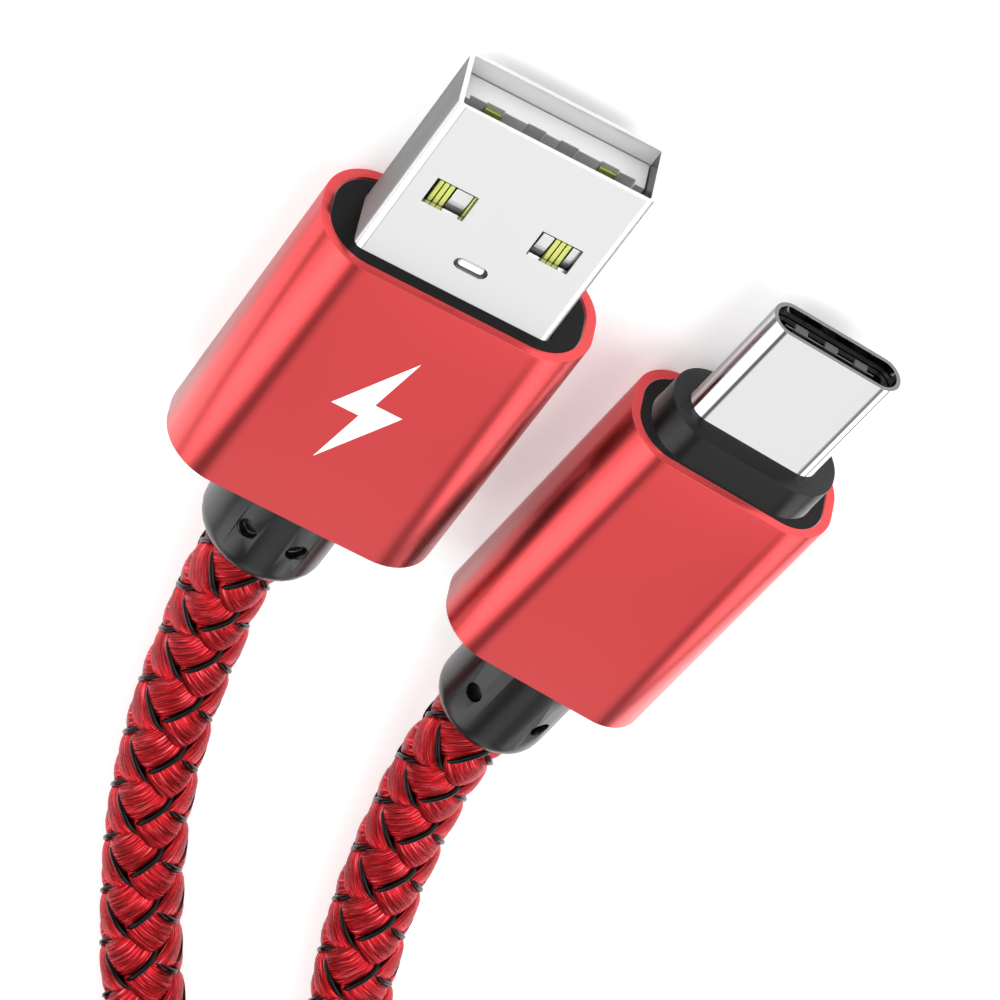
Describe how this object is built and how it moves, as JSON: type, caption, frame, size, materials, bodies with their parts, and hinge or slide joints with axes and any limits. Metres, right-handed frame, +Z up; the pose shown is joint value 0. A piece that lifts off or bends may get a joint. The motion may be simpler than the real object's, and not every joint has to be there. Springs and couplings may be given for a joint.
{
  "type": "charging cable",
  "caption": "Braided charging cable with a flat rectangular plug and a small rounded plug in metal housings with moulded strain reliefs, its spare length folded in a tied hank",
  "frame": {"origin": "Centre of the flat underside of the type-A plug's housing, on the table that the cable lies on", "axes": "+Z up, out of the table. -Y is the way the type-A plug is pushed into its socket, and the cord leaves it towards +Y. +X is to the left seen from the mouth of the plug with the table below, away from the type-C plug"},
  "size_m": [0.0461, 0.1795, 0.0147],
  "materials": {
    "anodised_housing": "satin red anodised",
    "plug_steel": "polished",
    "contact_gold": "gold plated, polished",
    "black_plastic": "satin",
    "relief_moulding": "glossy elastomer",
    "pale_plastic": "satin",
    "white_plastic": "matt",
    "circuit_board": "solder mask",
    "red_insulation": "satin",
    "white_insulation": "satin",
    "green_insulation": "satin",
    "black_insulation": "satin",
    "cord_braid": "glossy braided fibre",
    "tie_strap": "hook and loop strap"
  },
  "bodies": {
    "root": {"cable_hank": "cord_braid", "cable_lead_a": "cord_braid", "cable_lead_c": "cord_braid", "cable_tie": "tie_strap", "type_a_contact_d_minus": "contact_gold", "type_a_contact_d_plus": "contact_gold", "type_a_contact_gnd": "contact_gold", "type_a_contact_vbus": "contact_gold", "type_a_front_insert": "black_plastic", "type_a_housing": "anodised_housing", "type_a_inner_mould": "white_plastic", "type_a_insulator": "pale_plastic", "type_a_shell": "plug_steel", "type_a_strain_relief": "relief_moulding", "type_a_wire_black": "black_insulation", "type_a_wire_green": "green_insulation", "type_a_wire_red": "red_insulation", "type_a_wire_white": "white_insulation", "type_c_collar": "black_plastic", "type_c_contact_a1": "contact_gold", "type_c_contact_a12": "contact_gold", "type_c_contact_a4": "contact_gold", "type_c_contact_a5": "contact_gold", "type_c_contact_a6": "contact_gold", "type_c_contact_a7": "contact_gold", "type_c_contact_a9": "contact_gold", "type_c_contact_b1": "contact_gold", "type_c_contact_b12": "contact_gold", "type_c_contact_b4": "contact_gold", "type_c_contact_b5": "contact_gold", "type_c_contact_b9": "contact_gold", "type_c_front_insert": "black_plastic", "type_c_ground_spring_bottom": "plug_steel", "type_c_ground_spring_top": "plug_steel", "type_c_housing": "anodised_housing", "type_c_inner_mould": "white_plastic", "type_c_insulator": "black_plastic", "type_c_latch_left": "plug_steel", "type_c_latch_right": "plug_steel", "type_c_paddle_card": "circuit_board", "type_c_resistor": "black_plastic", "type_c_shell": "plug_steel", "type_c_strain_relief": "relief_moulding", "type_c_wire_black": "black_insulation", "type_c_wire_green": "green_insulation", "type_c_wire_red": "red_insulation", "type_c_wire_white": "white_insulation"}
  },
  "joints": []
}
